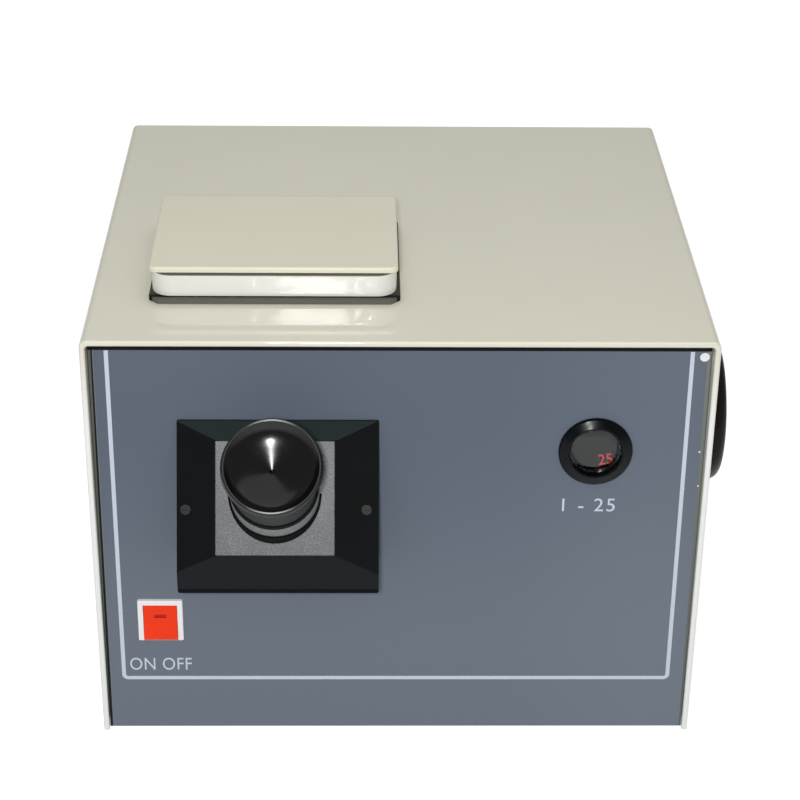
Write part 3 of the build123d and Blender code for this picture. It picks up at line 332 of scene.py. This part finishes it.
MAT["post_steel"] = metal("post_steel", lin(190, 190, 190), 0.3, (900.0, 900.0, 60.0), 0.1)
MAT["black_screw"] = paint("black_screw", lin(36, 37, 35), 0.34, spread=0.1, var_scale=300.0, grain=3000.0, grain_strength=0.15,
                           metallic=0.1, spec=0.1)
MAT["socket_black"] = paint("socket_black", lin(11, 11, 12), 0.55, spread=0.1, var_scale=60.0, grain=1600.0, grain_strength=0.15, spec=0.05)
MAT["prism_glass"] = glass("prism_glass", lin(246, 250, 252), 0.01, 1.52)
MAT["eyecup_black"] = paint("eyecup_black", lin(8, 8, 9), 0.17, spread=0.06, var_scale=60.0, grain=600.0,
                            grain_strength=0.02, rough_spread=0.02, spec=0.33)
MAT["barrel_grey"] = paint("barrel_grey", lin(60, 63, 65), 0.4, spread=0.04, var_scale=60.0, grain=1400.0, grain_strength=0.06,
                           rough_spread=0.04, spec=0.12)
# painted highlight on the eyecup's rim, brightest at its top and bottom; painted shade in the groove at the foot of
# the barrel
EYE = at(-65.5, -15.9, 166.4)
EYE_AXIS = (0.0, -math.cos(math.radians(48.0)), math.sin(math.radians(48.0)))
cup = MAT["eyecup_black"]
painted_rim_highlight = cup.mix(cup.remap(cup.math("ABSOLUTE", cup.along(EYE, (1.0, 0.0, 0.0))), 3.0, 13.0, 0, 1), lin(176, 178, 178), lin(60, 62, 62))
cup.color(cup.mix(cup.remap(cup.along(EYE, EYE_AXIS), 46.78, 46.86, 0, 1), cup.base, painted_rim_highlight))
barrel = MAT["barrel_grey"]
barrel.color(barrel.mix(barrel.remap(barrel.along(EYE, EYE_AXIS), 15.70, 15.80, 0, 1), lin(9, 9, 10), barrel.base))
MAT["lens_glass"] = glass("lens_glass", lin(240, 244, 250), 0.01, 1.52)
MAT["bezel_black"] = paint("bezel_black", lin(5, 10, 13), 0.26, spread=0.08, var_scale=60.0, grain=900.0, grain_strength=0.05,
                           spec=0.11)
# the bezel's face falls away more steeply towards its edge
WIN = on_panel(104.3, 179.2)
bez = MAT["bezel_black"]
bx, bs = bez.along(WIN, (1.0, 0.0, 0.0)), bez.along(WIN, PU)
br = bez.math("SQRT", bez.math("ADD", bez.math("MULTIPLY", bx, bx), bez.math("MULTIPLY", bs, bs)))
bez.bump(bez.math("MULTIPLY", bez.math("MAXIMUM", br, 15.0), -0.00022), 1.0, 1.0)
MAT["window_glass"] = glass("window_glass", lin(236, 240, 244), 0.01, 1.36)
MAT["window_glass"].set(Specular_IOR_Level=0.2)
MAT["nut_nickel"] = metal("nut_nickel", lin(205, 202, 194), 0.22, (600.0, 600.0, 600.0), 0.06)
MAT["switch_white"] = paint("switch_white", lin(252, 250, 250), 0.22, spread=0.008, var_scale=60.0, grain=900.0, grain_strength=0.03)
# the bezel's lower edge lies in the rocker's shade
white = MAT["switch_white"]
SILL = on_panel(-130.75, 60.6, 0.0)
white.color(white.mix(white.remap(white.along(SILL, PU), -0.1, 0.1, 1, 0), white.base, lin(128, 112, 120)))
MAT["rocker_red"] = paint("rocker_red", lin(255, 60, 20), 0.3, spread=0.03, var_scale=80.0, grain=900.0, grain_strength=0.03, spec=0.2)
# darker filling of the shallow mark on the rocker's upper half
red = MAT["rocker_red"]
MARK = on_panel(-130.75, 71.9 + 3.9, 1.6)
across = red.math("LESS_THAN", red.math("ABSOLUTE", red.along(MARK, (1.0, 0.0, 0.0))), 3.32)
upward = red.math("LESS_THAN", red.math("ABSOLUTE", red.along(MARK, PU)), 1.12)
red.color(red.mix(red.math("MULTIPLY", across, upward), red.base, lin(200, 24, 5)))
MAT["contact_brass"] = metal("contact_brass", lin(222, 212, 176), 0.28, (900.0, 80.0, 900.0), 0.1)
MAT["inlet_black"] = paint("inlet_black", lin(30, 30, 31), 0.45, spread=0.08, var_scale=60.0, grain=1400.0, grain_strength=0.2)
MAT["disc_black"] = paint("disc_black", lin(16, 15, 15), 0.6, spread=0.08, var_scale=30.0, grain=1500.0, grain_strength=0.1, spec=0.05)
MAT["ring_aluminium"] = metal("ring_aluminium", lin(205, 205, 204), 0.3, (500.0, 60.0, 500.0), 0.1)
MAT["gear_brass"] = metal("gear_brass", lin(214, 182, 112), 0.27, (500.0, 500.0, 500.0), 0.08)
MAT["shaft_steel"] = metal("shaft_steel", lin(202, 202, 202), 0.2, (60.0, 900.0, 900.0), 0.08)
MAT["stand_grey"] = paint("stand_grey", lin(150, 152, 150), 0.5, spread=0.04, var_scale=20.0, grain=500.0, grain_strength=0.25,
                          grain_depth=0.0001)
MAT["spring_steel"] = metal("spring_steel", lin(176, 182, 192), 0.25, (900.0, 900.0, 60.0), 0.08)


# head plate: hammer-textured grey, dark grains between light ones
def hammer():
    m = Mat("plate_hammer")
    fine = m.noise(1250.0, 3.0, 0.6)
    broad = m.noise(60.0, 3.0, 0.5)
    both = m.math("ADD", m.math("MULTIPLY", fine, 0.86), m.math("MULTIPLY", broad, 0.14))
    m.color(m.ramp(both, [(0.30, lin(42, 43, 45)), (0.45, lin(72, 74, 77)), (0.56, lin(90, 92, 96)), (0.70, lin(130, 133, 137))]))
    m.rough(m.remap(fine, 0.3, 0.7, 0.30, 0.55))
    m.bump(both, 0.6, 0.00016)
    m.set(Metallic=0.25)
    return m


MAT["plate_hammer"] = hammer()


def sand():
    m = Mat("sight_grey")
    fine = m.noise(1500.0, 3.0, 0.6)
    grey = m.ramp(fine, [(0.32, lin(100, 104, 106)), (0.5, lin(154, 157, 158)), (0.68, lin(196, 198, 198))])
    # painted shade: the end face is painted black, for the dark shadow line under the barrel
    m.color(m.mix(m.remap(m.along(EYE, EYE_AXIS), 11.85, 11.95, 0, 1), grey, lin(10, 10, 11)))
    m.rough(m.remap(fine, 0.3, 0.7, 0.4, 0.6))
    m.bump(fine, 0.35, 0.00010)
    m.set(Metallic=0.2, Specular_IOR_Level=0.15)
    return m


MAT["sight_grey"] = sand()


# colour glasses: pale yellow to deep red round the disc, one shade to each glass
def glasses():
    m = Mat("colour_glass")
    x, y, z = m.xyz()
    cx, cz = (OX + DISC_X) / 1000, (OZ + DISC_Z) / 1000
    ang = m.math("ARCTAN2", m.math("SUBTRACT", z, cz), m.math("SUBTRACT", x, cx))
    turns = m.math("MULTIPLY", m.math("SUBTRACT", ang, math.radians(BEAM)), 1.0 / math.radians(STEP))
    number = m.math("FLOORED_MODULO", m.math("ADD", m.math("ROUND", turns), 25.0), 26.0)
    col = m.ramp(m.math("DIVIDE", number, 25.0), [
        (0.0, lin(255, 250, 214)), (0.2, lin(252, 232, 120)), (0.4, lin(246, 196, 52)), (0.6, lin(226, 128, 24)),
        (0.8, lin(178, 60, 14)), (1.0, lin(104, 16, 8))])
    m.color(col)
    m.rough(m.remap(m.noise(80.0, 2.0), 0.3, 0.7, 0.02, 0.05))
    m.set(IOR=1.52)
    m.b.inputs["Transmission Weight"].default_value = 0.9
    return m


MAT["colour_glass"] = glasses()


# handwheel: glossy black moulding with faint turned rings
def wheel():
    m = Mat("wheel_black")
    x, y, z = m.xyz()
    cy, cz = (OY + 128.0) / 1000, (OZ + 139.0) / 1000
    dy, dz = m.math("SUBTRACT", y, cy), m.math("SUBTRACT", z, cz)
    r = m.math("SQRT", m.math("ADD", m.math("MULTIPLY", dy, dy), m.math("MULTIPLY", dz, dz)))
    rings = m.math("SINE", m.math("MULTIPLY", r, 2 * math.pi / 0.0011))
    m.color(m.mix(m.remap(m.noise(40.0, 3.0), 0.3, 0.7, 0, 1), lin(20, 15, 13), lin(31, 27, 24)))
    m.rough(m.remap(m.noise(90.0, 3.0), 0.3, 0.7, 0.26, 0.40))
    m.bump(rings, 0.06, 0.00003)
    m.set(Specular_IOR_Level=0.10)
    return m


MAT["wheel_black"] = wheel()

record = frame["record"]
slot_of = {p["node"]: p["material_slot"] for p in record["subparts"]}
for name, obj in nodes.items():
    mat = MAT[slot_of[name]].m
    if obj.data.materials:
        for i in range(len(obj.data.materials)):
            obj.data.materials[i] = mat
    else:
        obj.data.materials.append(mat)


# painted light and shade on the hood: the region below the plate is painted lighter, as a facet facing the light, and
# the lower lip is painted dark as in shade
hood = MAT["hood_black"]
LOWB = at(-65.45, 0.0, 136.5)
fall = hood.along(LOWB, (0.0, 0.0, -1.0))
spread = hood.math("SUBTRACT", hood.math("ADD", hood.math("MULTIPLY", fall, 1.9), 31.5), hood.math("ABSOLUTE", hood.along(LOWB, (1.0, 0.0, 0.0))))
below = hood.math("MULTIPLY", hood.remap(fall, 0.0, 0.3, 0, 1), hood.remap(spread, 0.0, 0.5, 0, 1))
lighter = hood.mix(below, hood.base, lin(36, 39, 42))
shaded = hood.mix(hood.remap(hood.xyz()[2], (OZ + 114.6) / 1000, (OZ + 115.4) / 1000, 0, 1), lin(16, 16, 19), lighter)
# painted light: the top bevel, between its two mitred corners, is painted greyer as it faces up into the light
TOPB = at(-64.8, 0.0, 190.9)
rise = hood.along(TOPB, (0.0, 0.0, 1.0))
inset = hood.math("SUBTRACT", hood.math("ADD", hood.math("MULTIPLY", rise, 3.3), 31.5), hood.math("ABSOLUTE", hood.along(TOPB, (1.0, 0.0, 0.0))))
bevel = hood.math("MULTIPLY", hood.remap(rise, 0.0, 0.3, 0, 1), hood.remap(inset, 0.0, 0.5, 0, 1))
hood.color(hood.mix(bevel, shaded, lin(43, 51, 50)))


# ---- printed marks ---------------------------------------------------------------------------------
def ink(name, col, rough=0.45, glow=0.0):
    m = Mat(name)
    m.color(m.mix(m.remap(m.noise(900.0, 3.0), 0.35, 0.7, 0, 1), tint(col, 0.93), tint(col, 1.0)))
    m.rough(m.remap(m.noise(300.0, 2.0), 0.3, 0.7, rough - 0.06, rough + 0.06))
    m.bump(m.noise(1600.0, 2.0), 0.05, 0.00002)
    if glow:
        m.b.inputs["Emission Color"].default_value = col
        m.b.inputs["Emission Strength"].default_value = glow
    return m


INK_WHITE = ink("ink_white", lin(213, 221, 236))
# painted light: the red numbers glow a little, standing in for the disc lit by the lamp inside the case
INK_RED = ink("ink_red", lin(222, 52, 58), glow=0.6)


def keep(obj, mat, body):
    obj.data.materials.clear()
    obj.data.materials.append(mat.m)
    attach(obj, body)
    return obj


def panel_frame():
    """Columns: along the panel to the right, up it, and out of it."""
    return Matrix(((1, 0, 0), (0, PU.y, PN.y), (0, PU.z, PN.z)))


def lettering(name, text, cap, origin, basis, mat, body, proud=0.00006, spacing=1.0, width=None):
    """Raised print of plain characters, centred on origin; cap is the height of a capital."""
    cu = bpy.data.curves.new(name + "_curve", "FONT")
    cu.body = text
    cu.size = 1.0
    cu.align_x = "CENTER"
    cu.space_character = spacing
    cu.resolution_u = 8
    tmp = bpy.data.objects.new(name + "_tmp", cu)
    bpy.context.scene.collection.objects.link(tmp)
    bpy.context.view_layer.update()
    me = bpy.data.meshes.new_from_object(tmp.evaluated_get(bpy.context.evaluated_depsgraph_get()))
    bpy.data.objects.remove(tmp)
    bpy.data.curves.remove(cu)
    me.name = name
    bm = bmesh.new()
    bm.from_mesh(me)
    bmesh.ops.dissolve_limit(bm, angle_limit=0.002, verts=bm.verts, edges=bm.edges)
    bmesh.ops.triangulate(bm, faces=bm.faces)
    xs = [v.co.x for v in bm.verts]
    ys = [v.co.y for v in bm.verts]
    k = cap / (max(ys) - min(ys))
    kx = k if width is None else width / (max(xs) - min(xs))
    mx, my = (max(xs) + min(xs)) / 2, (max(ys) + min(ys)) / 2
    for v in bm.verts:
        v.co = Vector(((v.co.x - mx) * kx, (v.co.y - my) * k, 0))
    # lift into a thin closed print
    top = bmesh.ops.extrude_face_region(bm, geom=bm.faces[:])
    for v in [g for g in top["geom"] if isinstance(g, bmesh.types.BMVert)]:
        v.co.z += proud
    bmesh.ops.recalc_face_normals(bm, faces=bm.faces)
    for v in bm.verts:
        v.co = origin + basis @ v.co
    bm.to_mesh(me)
    bm.free()
    obj = bpy.data.objects.new(name, me)
    bpy.context.scene.collection.objects.link(obj)
    return keep(obj, mat, body)


def ribbon(name, pts, width, mat, body, proud=0.00006):
    """Flat printed line through panel points (x, s) in millimetres, mitred at its corners."""
    bm = bmesh.new()
    rows = []
    n = len(pts)
    for i, p in enumerate(pts):
        a = Vector(pts[max(0, i - 1)])
        b = Vector(pts[min(n - 1, i + 1)])
        p = Vector(p)
        d1 = (p - a).normalized() if i > 0 else (b - p).normalized()
        d2 = (b - p).normalized() if i < n - 1 else d1
        t = (d1 + d2).normalized()
        nrm = Vector((-t.y, t.x))
        k = 1.0 / max(0.3, nrm.dot(Vector((-d1.y, d1.x))))
        off = nrm * (width / 2 * k)
        row = []
        for q in (p + off, p - off):
            for dd in (0.0, proud * 1000):
                row.append(bm.verts.new(on_panel(q.x, q.y, dd)))
        rows.append(row)
    for r, q in zip(rows, rows[1:]):
        for i, j in ((0, 1), (1, 3), (3, 2), (2, 0)):
            bm.faces.new((r[i], r[j], q[j], q[i]))
    for r in (rows[0], rows[-1]):
        bm.faces.new((r[0], r[1], r[3], r[2]))
    bmesh.ops.recalc_face_normals(bm, faces=bm.faces)
    me = bpy.data.meshes.new(name)
    bm.to_mesh(me)
    bm.free()
    obj = bpy.data.objects.new(name, me)
    bpy.context.scene.collection.objects.link(obj)
    return keep(obj, mat, body)


LX, LXL, BOTTOM, TOPS, CR = 152.2, 152.7, 34.1, 237.8, 2.4
line = [(-LXL, TOPS), (-LXL, BOTTOM + CR)]
for k in range(1, 8):
    a = math.radians(180 + 90 * k / 8)
    line.append((-LXL + CR + CR * math.cos(a), BOTTOM + CR + CR * math.sin(a)))
line += [(-LXL + CR, BOTTOM), (LX - CR, BOTTOM)]
for k in range(1, 8):
    a = math.radians(270 + 90 * k / 8)
    line.append((LX - CR + CR * math.cos(a), BOTTOM + CR + CR * math.sin(a)))
line += [(LX, BOTTOM + CR), (LX, TOPS)]
ribbon("panel_line", line, 2.2, INK_WHITE, "case")

PB = panel_frame()
lettering("switch_label", "ON OFF", 0.0080, on_panel(-131.8, 43.4), PB, INK_WHITE, "case", spacing=1.05, width=0.0344)
lettering("window_label", "1 - 25", 0.0080, on_panel(102.3, 146.0), PB, INK_WHITE, "case", spacing=1.15)

# numbers on the disc, one to each glass, read one at a time through the window
ANG0, NUM_R, TILT = 15.7, 72.3, math.radians(8.0)
for k in range(26):
    label = (k + 25) % 26
    turn = math.radians(STEP * k)
    a = math.radians(ANG0) + turn
    pos = at(DISC_X + NUM_R * math.cos(a), DISC_FACE, DISC_Z + NUM_R * math.sin(a))
    up = Vector((-math.sin(turn + TILT), 0, math.cos(turn + TILT)))
    right = Vector((math.cos(turn + TILT), 0, math.sin(turn + TILT)))
    out = Vector((0, -1, 0))
    basis = Matrix((right, up, out)).transposed()
    lettering("disc_number_%02d" % label, str(label), 0.0045, pos, basis, INK_RED, "disc", proud=0.00008)

# ---- floor, lights, camera -------------------------------------------------------------------------
me = bpy.data.meshes.new("floor")
bm = bmesh.new()
bmesh.ops.create_grid(bm, x_segments=8, y_segments=8, size=6.0)
bm.to_mesh(me)
bm.free()
floor = bpy.data.objects.new("floor", me)
bpy.context.scene.collection.objects.link(floor)
fm = Mat("floor_white")
fm.color(fm.mix(fm.remap(fm.noise(3.0, 2.0), 0.3, 0.7, 0, 1), (0.90, 0.90, 0.90, 1), (0.92, 0.92, 0.92, 1)))
fm.rough(0.9)
fm.b.inputs["Emission Color"].default_value = (1, 1, 1, 1)
fm.b.inputs["Emission Strength"].default_value = 0.56
floor.data.materials.append(fm.m)
# a bright backdrop that throws no light back on the instrument
floor.visible_diffuse = False


def area(name, loc, target, size_x, size_y, power, col=(1, 1, 1)):
    li = bpy.data.lights.new(name, "AREA")
    li.shape = "RECTANGLE"
    li.size, li.size_y = size_x, size_y
    li.energy = power
    li.color = col
    o = bpy.data.objects.new(name, li)
    o.location = loc
    o.rotation_euler = (Vector(target) - Vector(loc)).to_track_quat("-Z", "Y").to_euler()
    bpy.context.scene.collection.objects.link(o)
    return o


# the main light stands just over the camera; a wide soft one fills from above
area("key_light", at(-68.0, -1120.0, 838.0), at(-20, 20, 130), 0.10, 0.10, 10.4)
area("top_light", (0.2, 0.4, 2.2), (0, 0.05, 0.2), 2.4, 1.8, 11.5)

world = bpy.data.worlds.new("studio")
bpy.context.scene.world = world
world.use_nodes = True
bg = world.node_tree.nodes["Background"]
bg.inputs["Color"].default_value = (1.0, 1.0, 1.0, 1.0)
bg.inputs["Strength"].default_value = 0.34

f_px = 2164.1
eye = at(-21.01, -988.06, 754.88)
pitch, roll, yaw = math.radians(28.709), math.radians(0.708), math.radians(-1.209)
rz = Matrix.Rotation(yaw, 3, "Z")
fwd = rz @ Vector((0, math.cos(pitch), -math.sin(pitch)))
up = rz @ Vector((0, math.sin(pitch), math.cos(pitch)))
right = rz @ Vector((1, 0, 0))
right2 = right * math.cos(roll) + up * math.sin(roll)
up2 = up * math.cos(roll) - right * math.sin(roll)
cam = bpy.data.cameras.new("camera")
cam.sensor_width = 36.0
cam.lens = 36.0 * f_px / 800.0
cam.clip_start = 0.05
cam.clip_end = 30.0
co = bpy.data.objects.new("camera", cam)
rot = Matrix((right2, up2, -fwd)).transposed().to_4x4()
co.matrix_world = Matrix.Translation(eye) @ rot
bpy.context.scene.collection.objects.link(co)
bpy.context.scene.camera = co
bpy.context.scene.view_settings.view_transform = "Standard"
